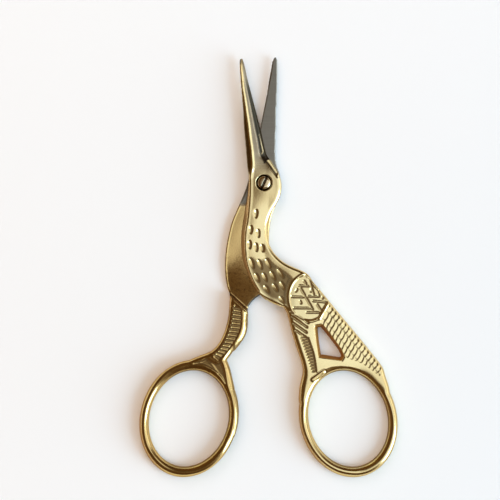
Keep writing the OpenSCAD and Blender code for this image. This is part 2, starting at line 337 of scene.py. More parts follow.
# each feather is its middle's x and y, its length and its tilt in degrees
FEATHERS_NECK = [
    (-1.75, -6.5, 2.0, 0), (-2.85, -9.85, 1.9, 2), (-1.25, -10.6, 2.0, 8), (-3.1, -12.95, 1.95, 6),
    (-1.7, -13.5, 2.05, 10), (-0.4, -13.7, 1.9, 14),
]
FEATHERS_BREAST = [
    (-2.6, -16.9, 2.5, 20), (-0.9, -17.1, 2.5, 22), (0.85, -17.0, 2.6, 26), (-1.5, -19.9, 2.2, 26),
    (0.1, -19.8, 2.2, 26), (1.8, -19.5, 2.4, 28), (3.4, -19.0, 2.6, 32), (0.5, -22.3, 2.1, 34),
    (2.3, -22.0, 2.2, 32), (3.8, -21.6, 2.2, 28), (3.7, -24.6, 2.1, 32),
]
BREAST = np.vstack([
    curve([
        (-3.75, -15.2), (-2.9, -15.25), (-1.6, -15.65), (-0.6, -15.6), (0.7, -15.5), (1.7, -16.4),
        (3.0, -17.5), (4.6, -18.5), (6.2, -19.9),
    ]),
    curve([(5.35, -21.4), (4.95, -23.2), (5.05, -25.0), (5.3, -26.2)]),
    curve([
        (4.2, -25.75), (2.6, -25.0), (0.9, -24.35), (-0.6, -23.1), (-1.9, -21.2), (-2.95, -18.9),
        (-3.75, -16.4),
    ]),
])
# the medallion at the root of the tail: its raised rim, the rim's end on the tail, and its grooves
RIM = [
    (8.6, -18.9), (7.2, -19.75), (6.0, -21.0), (5.35, -22.7), (5.25, -24.3), (5.5, -25.7), (6.1, -27.1),
    (7.2, -28.2), (8.5, -28.8), (9.9, -28.95), (11.6, -28.4),
]
RIM_TAIL = [(11.6, -28.4), (12.5, -26.8), (13.6, -24.8)]
MEDAL = np.vstack([curve(RIM), [(13.6, -24.8)], curve([(13.2, -24.6), (11.0, -21.9), (9.6, -20.0)])])
FRET = [
    ((7.3, -21.5), (9.3, -21.6)), ((9.45, -20.2), (10.35, -23.6)), ((9.2, -23.7), (11.5, -23.75)),
    ((7.55, -22.0), (10.1, -26.5)), ((5.75, -23.8), (8.1, -23.9)), ((6.2, -26.15), (9.6, -26.2)),
    ((8.9, -27.1), (11.5, -27.1)), ((11.0, -25.4), (11.95, -26.9)), ((10.2, -24.7), (13.1, -25.0)),
    ((11.1, -22.4), (11.45, -23.7)), ((8.3, -20.5), (8.7, -21.1)), ((6.9, -22.2), (6.6, -22.7)),
    ((9.8, -22.3), (9.75, -22.7)), ((7.5, -24.7), (7.7, -25.2)), ((12.2, -23.9), (12.25, -24.2)),
]
# the tail: its outline, the way its rows run and stand, each row's two sides, and a scale's length
TAIL = np.vstack([
    curve([(13.75, -25.0), (12.75, -26.8), (11.8, -28.5), (12.0, -29.4)]),
    curve([
        (13.6, -31.4), (15.0, -33.3), (16.2, -35.0), (17.0, -36.6), (18.2, -37.0), (20.4, -37.9),
        (22.6, -39.4), (24.1, -40.6),
    ]),
    curve([(25.0, -39.1), (24.2, -37.7), (20.55, -33.1), (16.45, -28.2), (14.1, -25.3)]),
])
TAIL_WAY = (0.636, -0.771)
TAIL_OUT = (0.771, 0.636)
TAIL_ROWS = [(-5.0, -6.93), (-6.93, -8.55), (-8.55, -9.85)]
SCALE_LONG = 1.06
SCALE_SCOOP = 0.115
SCALE_GAP = 0.11
# the front leg: a column of ribs in a recess, slanting strokes above it, and a bar for the toe
COLUMN = np.vstack([
    curve([(7.3, -31.9), (8.6, -35.6), (9.9, -39.6)]),
    curve([(11.1, -39.9), (10.5, -36.0), (9.3, -32.3)]),
])
COLUMN_WAY = (0.31, -0.951)
COLUMN_PITCH = 0.62
LEG_STROKES = [
    ((5.75, -28.0), (8.9, -30.2)), ((6.1, -29.4), (8.8, -31.3)), ((6.6, -30.9), (8.6, -32.3)),
    ((5.5, -26.9), (9.2, -29.3)),
]
TOE = [(10.15, -41.2), (12.4, -39.65)]
# the back leg's ribs, by their left ends and a curve through their right ends
RIB_LEFT = [
    (-6.45, -25.75), (-6.5, -26.6), (-6.6, -27.5), (-6.7, -28.4), (-6.85, -29.3), (-7.1, -30.15),
    (-7.4, -31.0), (-7.7, -31.75), (-8.0, -32.5), (-8.35, -33.25), (-8.75, -34.0), (-9.2, -34.65),
    (-9.7, -35.25), (-10.2, -35.8), (-10.7, -36.3),
]
RIB_RIGHT = [
    (-5.0, -26.0), (-4.95, -28.5), (-5.15, -30.2), (-5.8, -31.9), (-6.9, -33.7), (-8.1, -35.3),
    (-9.7, -37.0),
]
# the hollow where the back leg spreads into its bow
WEB = np.vstack([
    curve([
        (-15.2, -37.7), (-13.4, -37.15), (-11.9, -36.6), (-11.1, -37.1), (-9.9, -37.7), (-8.9, -37.5),
        (-8.35, -38.6), (-7.9, -40.5), (-7.6, -42.8),
    ]),
    curve([(-8.15, -42.2), (-9.3, -40.5), (-10.9, -39.2), (-12.8, -38.3), (-14.6, -38.0)]),
])


def tail_scales(plan, H):
    """Rows of slanted scales between the tail's outer edge and the window."""
    s = plan.X * TAIL_WAY[0] + plan.Y * TAIL_WAY[1]
    n = plan.X * TAIL_OUT[0] + plan.Y * TAIL_OUT[1]
    mask = plan.area(TAIL, 0.3)
    scoop, gap = np.zeros(H.shape), np.zeros(H.shape)
    for k, (hi, lo) in enumerate(TAIL_ROWS):
        mid, half = (hi + lo) / 2, (hi - lo) / 2
        v = (n - mid) / half
        phase = (s + 0.42 * (n - mid) + 0.25 * half * v * v) / SCALE_LONG + 0.5 * k
        t = phase - np.floor(phase)
        row = np.abs(v) <= 1
        dip = np.minimum(t / 0.7, (1 - t) / 0.3) * ease((1 - np.abs(v)) / 0.25)
        scoop = np.where(row, dip, scoop)
        seam = ease((np.abs(v) - 0.8) / 0.1) * (0.5 + 0.5 * ease((t - 0.5) / 0.2))
        gap = np.where(row, np.maximum(seam, 0.5 * ease((t - 0.76) / 0.1)), gap)
    H -= mask * (SCALE_SCOOP * scoop + SCALE_GAP * gap)
    return mask, mask * gap


# The two halves


def bow_hole(plan):
    """The outline of the finger's hole in a bow."""
    return [l for l in plan.loops if np.ptp(l[:, 0]) > 12 and l[:, 1].max() < -30][0]


def bow_slope(plan):
    """The bow's face slopes in towards the finger, and out again on its far left."""
    hole = bow_hole(plan)
    d = plan.path(hole, 1.7, True)
    rough = 2 * (d < 1.7) * ease((1.7 - d) / 1.0) * waves(plan.X, plan.Y, 11)
    inner = 0.4 * (1 - d / 1.7) ** 2 + rough
    outline = max(plan.loops, key=lambda l: np.ptp(l[:, 1]))
    d = plan.path(outline, 1.3, True)
    x, y = hole.mean(0)
    far = ease(((x - plan.X) * 0.9 + (y - plan.Y) * 0.44) / 6)
    return inner + 0.45 * far * (1 - d / 1.3) ** 2 * ease((-38 - plan.Y) / 3)


def bow_edge_shade(plan):
    """Painted shade, brown, along a bow's inner edge, except on its left."""
    hole = bow_hole(plan)
    d = plan.path(hole, 0.5, True)
    return ease((0.36 - d) / 0.1) * ease((plan.X - hole[:, 0].mean() + 6.5) / 4)


# curves that run down the front half, by points from the tip
SPINE_FRONT = [
    (-5.05, 26.4), (-4.88, 23.5), (-4.55, 20), (-4.15, 17.5), (-3.7, 14.5), (-3.33, 12), (-3.03, 9.5),
    (-2.75, 7.5), (-2.58, 6), (-2.55, 4.6), (-2.65, 3.3), (-2.85, 2.2), (-2.95, 1), (-2.95, -1), (-3.0, -3),
    (-3.15, -5), (-3.5, -8), (-3.85, -10), (-3.98, -12), (-3.95, -14), (-3.75, -16), (-3.1, -18.5),
    (-2.0, -21), (-0.7, -23), (0.8, -24.3),
]
CUTTING_EDGE_FRONT = [
    (-4.3, 26.4), (-3.55, 22), (-2.5, 18), (-1.45, 14), (-0.4, 9.8), (0.55, 5.9), (1.35, 4.7), (2.6, 3.0),
]
GRINDING_LINE = [
    (-4.5, 24.5), (-4.0, 22), (-3.15, 18.0), (-2.55, 15.0), (-1.95, 12.0), (-1.4, 9.0), (-1.05, 7.0),
    (-0.7, 5.5), (-0.15, 4.4),
]
BOSS_GROOVE = [(-0.2, 4.95), (0.2, 4.5), (0.75, 3.9), (1.75, 2.5), (2.7, 1.15)]
NICK = [(-1.1, 10.2), (-0.74, 8.9), (-0.22, 6.6), (-0.45, 6.1)]
# curves that run down the back half's blade, likewise
SPINE_BACK = [
    (2.3, 26.6), (2.3, 23.5), (2.1, 20), (1.95, 16), (1.8, 12), (1.55, 8), (1.5, 5), (1.9, 3), (2.6, 1.2),
    (3.0, -0.8),
]
# the back blade's cutting edge, seen from below, so that x is turned round
CUTTING_EDGE_BACK = [
    (-1.96, 26.6), (-1.5, 23), (-0.8, 19.5), (0, 15.5), (0.8, 11.5), (1.7, 7.5), (2.4, 4.2), (3.1, 1.4),
]


def front_ornament(plan):
    """Height of the front half's ornament over its flat face, and the areas it lies in."""
    X, Y = plan.X, plan.Y
    H = np.zeros(X.shape)
    breast = plan.area(BREAST, 0.9)
    H -= 0.08 * breast
    hollows(plan, FEATHERS_BREAST, H)
    hollows(plan, FEATHERS_NECK, H)
    ridges(plan, RIM, H, 0.12, 0.3)
    ridges(plan, RIM_TAIL, H, 0.1, 0.26)
    medal = plan.area(MEDAL, 0.45)
    H -= 0.06 * medal
    fret = np.zeros(X.shape)
    grooves(plan, FRET, fret, 0.13, 0.29)
    H += np.maximum(fret, -0.13) * np.clip(medal * 3, 0, 1)
    tail, seams = tail_scales(plan, H)
    column = plan.area(COLUMN, 0.16)
    rib = (X * COLUMN_WAY[0] + Y * COLUMN_WAY[1]) / COLUMN_PITCH
    between = np.abs(rib - np.round(rib)) * 2
    H -= column * (0.05 + 0.12 * ease(between))
    grooves(plan, LEG_STROKES, H, 0.19, 0.25)
    toe = plan.path(TOE, 0.8)
    H -= 0.12 * ease((0.7 - toe) / 0.2)
    H += 0.24 * np.sqrt(np.clip(1 - (toe / 0.5) ** 2, 0, 1))
    areas = dict(breast=breast, medal=medal, tail=tail, seams=seams, column=column, between=between, toe=toe)
    return H, areas


def front_lines(plan):
    """Where the front half's ridge, ground strip, nick, groove and screw recess lie."""
    X, Y = plan.X, plan.Y
    at = SimpleNamespace()
    at.spine = along(SPINE_FRONT, Y) - 0.19 * ease((Y - 3.0) / 3.0)
    at.near = ease((Y + 24.5) / 2.0)
    at.blade = ease((Y - 2.0) / 4.0)
    at.line = along(GRINDING_LINE, Y) - 0.07 * ease((Y - 9.0) / 3.0)
    at.ground = (Y > 4.0 + 0.8 * ease((X - 0.1) / 0.8)) & (X > at.line - 0.3)
    at.nick = plan.path(NICK, 0.2) + 0.08 * ease((Y - 6.2) / 4)
    at.cut = ease((0.17 - plan.path(curve(BOSS_GROOVE), 0.3)) / 0.14)
    # past the groove, square to it and along it
    at.side = (X - 0.2) * 0.801 + (Y - 4.5) * 0.598
    fore = (X - 0.2) * 0.598 - (Y - 4.5) * 0.801
    at.past = ease((4.2 - fore) / 0.7) * ease((fore + 0.3) / 0.3)
    at.ledge = at.past * ease((at.side + 0.1) / 0.2)
    at.screw = np.hypot(X, Y)
    # the window between tail and leg, and its leaning walls
    hole = [l for l in plan.loops if 10 < l[:, 0].mean() < 17 and -38 < l[:, 1].mean() < -29]
    hole = [l for l in hole if np.ptp(l[:, 0]) < 8]
    at.ring = plan.path(hole[0], 1.2, True)
    at.hole = plan.inside(hole)
    at.walls = at.hole | (at.ring < 0.1)
    return at


def front_top(plan, H, medal, at):
    """The front half's upper face."""
    X, Y = plan.X, plan.Y
    near = at.near
    across = np.maximum(X - at.spine, 0)
    crown = 0.020 * across
    crown = crown + 0.010 * ease((-1 - Y) / 6) * np.minimum(across, 4) ** 2 * ease((Y + 30) / 12)
    bead = 0.5 * np.clip(0.66 - (X - at.spine), 0, 0.66) * near * (0.1 + 0.9 * ease((Y - 0.5) / 2.5))
    zt = INNER + HALF + H - crown + waves(X, Y, 3) + bead
    # the blade's face, and the steep flank on its left
    thick = blade_thickness(Y)
    face = INNER + thick - (0.03 + 0.09 * at.blade) * np.minimum(across, 3.2) + bead
    join = ease((Y - 0.2) / 3.6)
    zt = zt * (1 - join) + np.minimum(zt, face) * join
    steep = (1.75 - 1.0 * ease((Y + 1.0) / 4.0)) * (at.spine - X)
    flank = INNER + np.minimum(thick, HALF) + 0.05 - steep + (1 - near) * FAR
    zt = soft_min(zt, np.where(near > 0, flank, FAR), 0.12)
    # the darker ground strip behind the cutting edge
    fade_in = 1.4 * (1 - ease((Y - 4.2) / 1.2))
    shoulder = 2.5 * np.maximum(at.line - X, 0)
    strip = INNER + 0.62 * thick - 0.04 * (X - at.line) + shoulder + fade_in
    edge = INNER + 0.12 + 1.5 * np.maximum(along(CUTTING_EDGE_FRONT, Y) - X, 0)
    zt = np.where(at.ground, np.minimum(zt, soft_min(strip, edge, 0.05)), zt)
    # a nick left by grinding, which catches the light
    zt = zt + 0.04 * np.clip(1 - (at.nick / 0.14) ** 2, 0, 1)
    # past the groove the boss is ground down to a land
    land = INNER + 1.27 - 0.07 * (X - 1.0) - 0.06 * (Y - 4.3)
    zt = zt + (land - zt) * at.ledge - 0.15 * at.cut
    # the bow, and the tail that leans down to the right
    zt = zt - bow_slope(plan) - 0.018 * np.clip(X - 6, 0, 14) * ease((-27 - Y) / 6)
    # the window's walls lean into it
    wall = TOP - 0.15 - 2.4 * np.minimum(at.ring, 0.6) / 0.5
    zt = np.where(at.hole, wall, zt)
    zt = blur(zt - 0.035 * medal * (X - 6), 3)
    # the recess for the screw's head
    bore = TOP - 0.75 + 3.0 * np.maximum(at.screw - RECESS, 0) / 0.05
    return np.where(at.screw < RECESS + 0.05, np.minimum(zt, bore), zt)


def front_marks(plan, H, areas, at):
    """How bare, tarnished and ground the front half is, and where it gets painted shade, from 0 to 1."""
    X, Y = plan.X, plan.Y
    # painted highlight: along the nick the steel and the ground give way to bright gold
    nick_highlight = 1 - 0.6 * ease((0.15 - at.nick) / 0.08)
    land = at.past * ease((at.side - 0.02) / 0.08) * ease((0.36 - at.side) / 0.08)
    steel = ease((Y + 1.0) / 8.0) * ease((X - at.spine - 0.55) / 0.25) * nick_highlight
    steel = np.maximum(steel * (1 - at.ledge), land)
    strip_steel = at.ground * ease((X - at.line) / 0.1) * ease((7.0 - Y) / 1.0) * nick_highlight
    steel = np.maximum(steel, strip_steel)
    ground = at.ground * ease((X - at.line + 0.06) / 0.12) * (1 - 0.9 * ease((0.16 - at.nick) / 0.08))
    ground = np.maximum(ground, at.cut) * (1 - 0.6 * ease((Y - 19.0) / 4.0))
    ground = np.maximum(ground, land)
    breast, medal, toe = areas["breast"], areas["medal"], areas["toe"]
    # painted shade, darker the deeper a place lies: the breast's sunk ground, the medallion's left part and
    # every hollow, less in the feathers and none on the blade or the tail; with dark seams between the
    # tail's scales, and a little on the window's walls, between the column's ribs and along a bow's inner
    # edge
    medal_left_shade = 0.5 * ease((7.3 - X) / 1.4) * np.clip(medal * 2, 0, 1)
    low = np.maximum(np.maximum(1.15 * breast, medal_left_shade), np.clip(-H / 0.3, 0, 1))
    feather = np.clip((-H - 0.08) / 0.06, 0, 1) * np.clip(breast * 1.2, 0, 1)
    cavity_shade = low * (1 - at.blade) * (1 - 0.8 * feather) * (1 - areas["tail"]) + areas["seams"]
    cavity_shade = np.maximum(cavity_shade, 0.2 * at.walls)
    column = np.clip(areas["column"] * 3, 0, 1)
    cavity_shade = np.maximum(cavity_shade, column * (0.3 + 0.6 * ease((areas["between"] - 0.35) / 0.4)))
    cavity_shade = np.maximum(cavity_shade * ease((toe - 0.5) / 0.06), bow_edge_shade(plan))
    tarnish = np.maximum(at.walls, 0.25 * ease((Y + 24) / 4) + 0.45 * ease((Y - 16) / 7))
    tarnish = np.maximum(tarnish, 0.7 * ease((0.56 - toe) / 0.06))
    tarnish = np.maximum(tarnish, 0.8 * column)
    # painted shade, near black: in the gap round the screw's head, in the boss's groove, at the foot of the
    # ground strip and on the blade's left flank; also darker at the tip
    dark_shade = np.maximum(0.65 * ease((RECESS + 0.08 - at.screw) / 0.1), 0.6 * at.cut)
    strip_foot_shade = 0.22 * at.ground * ease((X - at.line) / 0.1) * ease((6.2 - Y) / 0.5)
    dark_shade = np.maximum(dark_shade, strip_foot_shade)
    dark_shade = np.maximum(dark_shade, 0.75 * ease((Y - 24.0) / 1.4))
    dark_shade = np.maximum(dark_shade, 0.88 * ease((Y - 0.5) / 2.5) * ease((at.spine - 0.02 - X) / 0.1))
    return dict(steel=steel, cavity_shade=cavity_shade, tarnish=tarnish, ground=ground, dark_shade=dark_shade, rust=1.0 * at.walls)


def front_fields():
    """Fields of the front half: bill blade, neck, breast, tail, front leg and right bow."""
    plan = Plan([smooth_loop(l) for l in slice_loops("front_half", 1.70)])
    X, Y = plan.X, plan.Y
    H, areas = front_ornament(plan)
    at = front_lines(plan)
    zt = front_top(plan, H, areas["medal"], at)
    marks = front_marks(plan, H, areas, at)
    # under face: the neck and breast are the upper layer, the rest goes down to the table
    ahead = ((X - 3.9) * 13.2 - (Y + 26.2) * 26.1) / math.hypot(13.2, 26.1)
    zb = INNER * (1 - ease(ahead / 0.12 + 0.5))
    # edges: wide and round on the bow, the leg and the back, sharp on the blade
    thin = ease((1.0 - ahead) / 1.0)
    sharp = ease((Y - 0.5) / 2.5)
    crisp = (at.near > 0.02) & (X < at.spine + 0.6)
    across = 1.0 * (1 - thin) + 0.8 * thin
    up = 1.15 * (1 - thin) + 1.0 * thin
    down = 1.58 * (1 - thin) + 0.07 * thin
    radii = []
    for radius in (across, up):
        radius = radius * (1 - sharp) + 0.07 * sharp
        radius = np.where(crisp, radius * (1 - at.near) + KEEN * at.near, radius)
        radii.append(radius * (1 - at.ledge) + KEEN * at.ledge)
    # the window is narrower below; the blade's edges lie a little further out, but not its tip
    plan.d = plan.d + 0.5 * np.where(at.hole, 1.0, ease((1.2 - at.ring) / 0.8))
    wider = 0.2 * ease((Y - 1.0) / 3.0) - 0.13 * ease((Y - 11.0) / 5.0)
    wider = wider * ease((at.spine + 0.9 - X) / 0.4) + 0.08 * ease((Y - 22.0) / 2.0) * (X > at.spine + 0.5)
    plan.d = plan.d + wider * (1 - ease((Y - 25.0) / 0.8))
    return plan, zt, zb, radii[0], radii[1], down, marks


def back_ornament(plan):
    """Height of the back leg's ornament over its flat face, where its ribs lie, and how far from one."""
    X, Y = plan.X, plan.Y
    H = np.zeros(X.shape)
    right = curve(RIB_RIGHT, 0.05)
    ends = right[np.linspace(0, len(right) - 1, len(RIB_LEFT)).astype(int)]
    between = np.full(X.shape, 0.45)
    for a, b in zip(RIB_LEFT, ends):
        between = np.minimum(between, plan.path([np.array(a), b], 0.45))
    ribbed = plan.area(np.vstack([np.array(RIB_LEFT) + (-0.1, 0.3), right[::-1] + (0.34, -0.2)]), 0.16)
    H -= ribbed * (0.15 * ease((between - 0.1) / 0.32) + 0.13 * (X - along(RIB_LEFT[::-1], Y)))
    for a in RIB_LEFT:
        knob = np.hypot(X - a[0] - 0.08, Y - a[1])
        H += 0.13 * np.clip(1 - (knob / 0.24) ** 2, 0, 1)
    H -= 0.26 * plan.area(WEB, 0.45)
    ridges(plan, [(-13.4, -37.75), (-11.6, -38.5), (-9.7, -39.8)], H, 0.1, 0.2)
    ridges(plan, [(-11.7, -37.1), (-10.9, -38.0), (-9.9, -39.4)], H, 0.08, 0.2)
    return H, ribbed, between


def shoulder_step(X, Y):
    """Distance past the shoulder, where the leg steps up from the plate."""
    a, b = np.array((-7.3, -22.75)), np.array((-3.45, -26.3))
    e = (b - a) / np.linalg.norm(b - a)
    return (X - a[0]) * e[1] - (Y - a[1]) * e[0]


def back_top(plan, H, step):
    """The back half's upper face: the plate lies under the breast, the leg is of full thickness."""
    X, Y = plan.X, plan.Y
    lean = 0.045 - 0.075 * ease((-14.5 - Y) / 7)
    plate = HALF - 0.2 - lean * (X + 7) - 0.002 * np.clip(-9 - Y, 0, 20) ** 2 + waves(X, Y, 5)
    plate = plate * ease((-3.5 - Y) / 2) + HALF * (1 - ease((-3.5 - Y) / 2))
    leg = TOP - plate + H + waves(X, Y, 7) + 0.02 * (X + 8)
    zt = plate + leg * ease((step - 0.1) / 0.45)
    # the plate's left edge stands up a little
    start = plan.x[np.argmax(plan.d > 0, axis=0)][None]
    rim = np.clip(0.34 - (X - start), 0, 0.34) * ease((-3.0 - Y) / 2) * (step < -0.1)
    lip = 0.05 * np.clip(1 - ((step - 0.6) / 0.2) ** 2, 0, 1)
    zt = zt + 0.28 * rim + lip * (plan.d > 0.2)
    return blur(zt - bow_slope(plan), 3)


def back_under(X, Y, step):
    """The back half's under face: plate and leg lie on the table, the blade is ground up from it."""
    spine = -along(SPINE_BACK[::-1], Y) - 0.15 * ease((Y - 14.0) / 5.0)
    blade = ease((Y - 2.0) / 4.0)
    thick = blade_thickness(Y)
    near = ease((Y + 2.5) / 2.0)
    depth = np.where(Y > 2.0, thick - (0.03 + 0.2 * blade) * np.maximum(-X - spine, 0), HALF)
    flank = np.minimum(thick, HALF) - 1.55 * (spine + X) + (1 - near) * FAR
    depth = soft_min(depth, np.where(near > 0, flank, FAR), 0.16)
    bevel = 0.14 + 0.86 * np.maximum(along(CUTTING_EDGE_BACK, Y) + X, 0)
    depth = np.where(Y > 4.6, soft_min(depth, bevel, 0.06), depth)
    return np.where(step > -3.0, 0.0, HALF - depth)


def back_marks(plan, H, ribbed, between, step):
    """How bare, tarnished and ground the back half is, and where it gets painted shade, from 0 to 1."""
    X, Y, d = plan.X, plan.Y, plan.d
    # the plate's bare lower right edge
    bare = ease((0.36 - d) / 0.12) * ease((-step - 0.1) / 0.3) * ease((-20.5 - Y) / 1.0)
    bare = bare * ease((X + 5.2) / 0.8)
    steel = np.maximum(ease((Y - 2.0) / 4.0), ease((Y + 5.2) / 1.2))
    # painted shade in the leg's hollows and between its ribs, darker the deeper they lie
    cavity_shade = 0.55 * np.clip(-H / 0.27, 0, 1)
    cavity_shade = np.maximum(cavity_shade, ribbed * (0.3 + 0.65 * ease((between - 0.22) / 0.14)))
    # painted shade: the leg's right side goes brown below its highlight
    right_side_shade = 0.8 * ease((0.48 - d) / 0.12) * ease((X + 8.5) / 1.5) * ease((-26.0 - Y) / 0.6)
    cavity_shade = np.maximum(cavity_shade, right_side_shade)
    # painted shadow on the face of the step where the leg rises from the plate
    wall = ease((step - 0.08) / 0.1) * (Y < -20)
    cavity_shade = np.maximum(cavity_shade, 0.8 * wall * ease((0.62 - step) / 0.15))
    cavity_shade = np.maximum(cavity_shade, bow_edge_shade(plan))
    tarnish = 0.4 + 0.6 * ease((-13 - Y) / 7) * ease((Y + 46) / 10)
    dark_shade = 0.75 * wall * ease((0.6 - step) / 0.15)
    return dict(steel=np.maximum(steel, bare), cavity_shade=cavity_shade, tarnish=tarnish, ground=bare, dark_shade=dark_shade)


def back_fields():
    """Fields of the back half: grey blade, shoulder plate, ribbed leg and left bow."""
    plan = Plan([smooth_loop(l) for l in slice_loops("back_half", 1.55)])
    X, Y = plan.X, plan.Y
    H, ribbed, between = back_ornament(plan)
    step = shoulder_step(X, Y)
    zt = back_top(plan, H, step)
    zb = back_under(X, Y, step)
    marks = back_marks(plan, H, ribbed, between, step)
    # edges: round on leg and bow, tighter on the plate, sharp on the blade
    full = ease((step - 0.1) / 0.8)
    sharp = ease((Y - 0.5) / 2.5)
    leg_right = ease((X + 8.5) / 1.5) * full * ease((X - along(RIB_LEFT[::-1], Y) - 0.5) / 0.6)
    plan.d = plan.d + 0.12 * leg_right * ease((-26.0 - Y) / 0.6) * ease((X + 6.5) / 0.5)
    across = (1.0 + 0.9 * leg_right) * full + 0.32 * (1 - full)
    up = 1.15 * full + 0.22 * (1 - full)
    down = 1.58 * full + 0.9 * (1 - full)
    radii = [radius * (1 - sharp) + KEEN * sharp for radius in (across, up, down)]
    # the blade's edges, a little further out on the right and in on the left, but not the tip
    wider = (0.12 + 0.16 * ease((Y - 14.0) / 5.0)) * ease((Y - 1.0) / 3.0) * ease((X - 0.5) / 0.5)
    plan.d = plan.d + wider * (1 - ease((Y - 25.2) / 0.8))
    plan.d = plan.d - 0.07 * ease((Y - 17.0) / 5.0) * (X < 2.3)
    return plan, zt, zb, radii[0], radii[1], radii[2], marks


# Surfaces


def level(sheets, z):
    """Negative inside: a slab between two heights, rounded near its outline by three radii."""
    depth, top, low, across, up, down = sheets
    u = np.maximum(across - depth, 0) / across
    span = np.maximum(top - low, 0.02)
    up = np.minimum(up, span * 0.5)
    down = np.minimum(down, span * 0.5)
    vt = np.maximum(z - (top - up), 0) / up
    vb = np.maximum((low + down) - z, 0) / down
    v = np.maximum(vt, vb)
    round_edge = (u**SQUARE + v**SQUARE) ** (1 / SQUARE) - 1
    return round_edge * np.minimum(across, np.where(vt > vb, up, down))


def net(F, lo, h):
    """Surface net of the grid's values: one point in each cell that the surface crosses, and the quads."""
    n = np.array(F.shape)
    S = F < 0
    total = np.zeros(tuple(n - 1), np.int8)
    for a, b, c in np.ndindex(2, 2, 2):
        total += S[a : n[0] - 1 + a, b : n[1] - 1 + b, c : n[2] - 1 + c]
    cells = np.argwhere((total > 0) & (total < 8))
    index = np.full(tuple(n - 1), -1, np.int32)
    index[tuple(cells.T)] = np.arange(len(cells))
    corner = {k: F[cells[:, 0] + k[0], cells[:, 1] + k[1], cells[:, 2] + k[2]] for k in np.ndindex(2, 2, 2)}
    acc = np.zeros((len(cells), 3))
    count = np.zeros(len(cells))
    for k in np.ndindex(2, 2, 2):
        for axis in range(3):
            if k[axis] == 0:
                m = tuple(k[i] + (i == axis) for i in range(3))
                fa, fb = corner[k], corner[m]
                on = (fa < 0) != (fb < 0)
                t = np.where(on, fa / np.where(on, fa - fb, 1), 0)
                p = np.array(k, float)[None] + t[:, None] * np.eye(3)[axis][None]
                acc += np.where(on[:, None], p, 0)
                count += on
    points = lo + (cells + acc / count[:, None]) * h
    quads = []
    for axis in range(3):
        u, v = [i for i in range(3) if i != axis]
        if axis == 1:
            u, v = v, u
        here = [slice(1, n[i] - 1) for i in range(3)]
        here[axis] = slice(0, n[axis] - 1)
        ahead = list(here)
        ahead[axis] = slice(1, n[axis])
        a, b = S[tuple(here)], S[tuple(ahead)]
        e = np.argwhere(a != b)
        flip = a[tuple(e.T)]
        e = e + [s.start for s in here]
        du, dv = np.eye(3, dtype=int)[u], np.eye(3, dtype=int)[v]
        around = (e - du - dv, e - dv, e, e - du)
        q = np.stack([index[tuple(c.T)] for c in around], 1)
        quads.append(np.where(flip[:, None], q, q[:, ::-1]))
    return points, np.vstack(quads)


def pull(points, value, turns=4, eps=0.02, stride=0.08, leash=0.16):
    """The points moved onto the surface along its slope, none of them far."""
    P = points.copy()
    for _ in range(turns):
        f = value(P)
        g = [(value(P + eps * way) - value(P - eps * way)) / (2 * eps) for way in np.eye(3)]
        g = np.stack(g, 1)
        move = -(f / np.maximum((g * g).sum(1), 0.02))[:, None] * g
        size = np.linalg.norm(move, axis=1)
        move *= np.minimum(1, stride / np.maximum(size, 1e-9))[:, None]
        drift = P + move - points
        far = np.linalg.norm(drift, axis=1)
        P = points + drift * np.minimum(1, leash / np.maximum(far, 1e-9))[:, None]
    return P


def surface(fields, name, cell):
    """The closed surface of one piece, from its fields, as a mesh object in the row frame."""
    plan, zt, zb, across, up, down, marks = fields
    sheets = (plan.d, zt, zb, across, up, down)
    h = np.array(cell)
    lo = np.array((plan.x[0] + 0.2, plan.y[0] + 0.2, -0.33))
    hi = np.array((plan.x[-1] - 0.2, plan.y[-1] - 0.2, TOP + 0.45))
    n = np.ceil((hi - lo) / h).astype(int) + 1
    gx, gy, gz = (lo[i] + h[i] * np.arange(n[i]) for i in range(3))
    GX, GY = np.meshgrid(gx, gy, indexing="ij")
    on_grid = [plan.sample(f, GX, GY)[:, :, None] for f in sheets]
    F = level(on_grid, gz[None, None]).astype(np.float32)
    points, quads = net(F, lo, h)

    def value(p):
        return level([plan.sample(f, p[:, 0], p[:, 1]) for f in sheets], p[:, 2])

    P = pull(points, value)
    mesh = bpy.data.meshes.new(name)
    mesh.vertices.add(len(P))
    mesh.vertices.foreach_set("co", (P * MM).ravel())
    mesh.loops.add(len(quads) * 4)
    mesh.loops.foreach_set("vertex_index", quads.ravel().astype(np.int32))
    mesh.polygons.add(len(quads))
    mesh.polygons.foreach_set("loop_start", np.arange(0, len(quads) * 4, 4, dtype=np.int32))
    mesh.polygons.foreach_set("loop_total", np.full(len(quads), 4, np.int32))
    mesh.update(calc_edges=True)
    mesh.validate()
    mesh.polygons.foreach_set("use_smooth", np.ones(len(mesh.polygons), bool))
    for key, field in marks.items():
        at = mesh.attributes.new(key, "FLOAT", "POINT")
        at.data.foreach_set("value", plan.sample(field, P[:, 0], P[:, 1]).astype(np.float32))
    obj = bpy.data.objects.new(name, mesh)
    bpy.context.collection.objects.link(obj)
    return obj


# Materials

MARKS = ("steel", "cavity_shade", "tarnish", "ground", "dark_shade", "rust")
TARNISH = (0.62, 0.41, 0.16)
PATCH = (0.72, 0.52, 0.20)
SPECK = (0.30, 0.18, 0.06)
LOW_ON_BOWS = (0.60, 0.43, 0.17)
# the brown of the painted shade on flanks that face left
LEFT_SHADE_BROWN = (0.45, 0.25, 0.09)
RUST = (0.40, 0.15, 0.004)
# the brown of the painted shade in hollows and creases
SHADE_BROWN = (0.17, 0.11, 0.045)
GROUND_STEEL = (0.095, 0.09, 0.07)
# the near black of the painted shade in gaps and grooves
SHADE_BLACK = (0.07, 0.04, 0.02)
# the near black of the painted shade in the screw's slot
SLOT_SHADE_BLACK = (0.05, 0.035, 0.02)
# the tint that Fresnel's white takes at grazing angles
GRAZING_GOLD = (0.55, 0.34, 0.14, 1)
GRAZING_BRONZE = (0.55, 0.40, 0.25, 1)
# the way in which a left flank faces
LEFT_WAY = (-0.93, -0.36, 0.0)


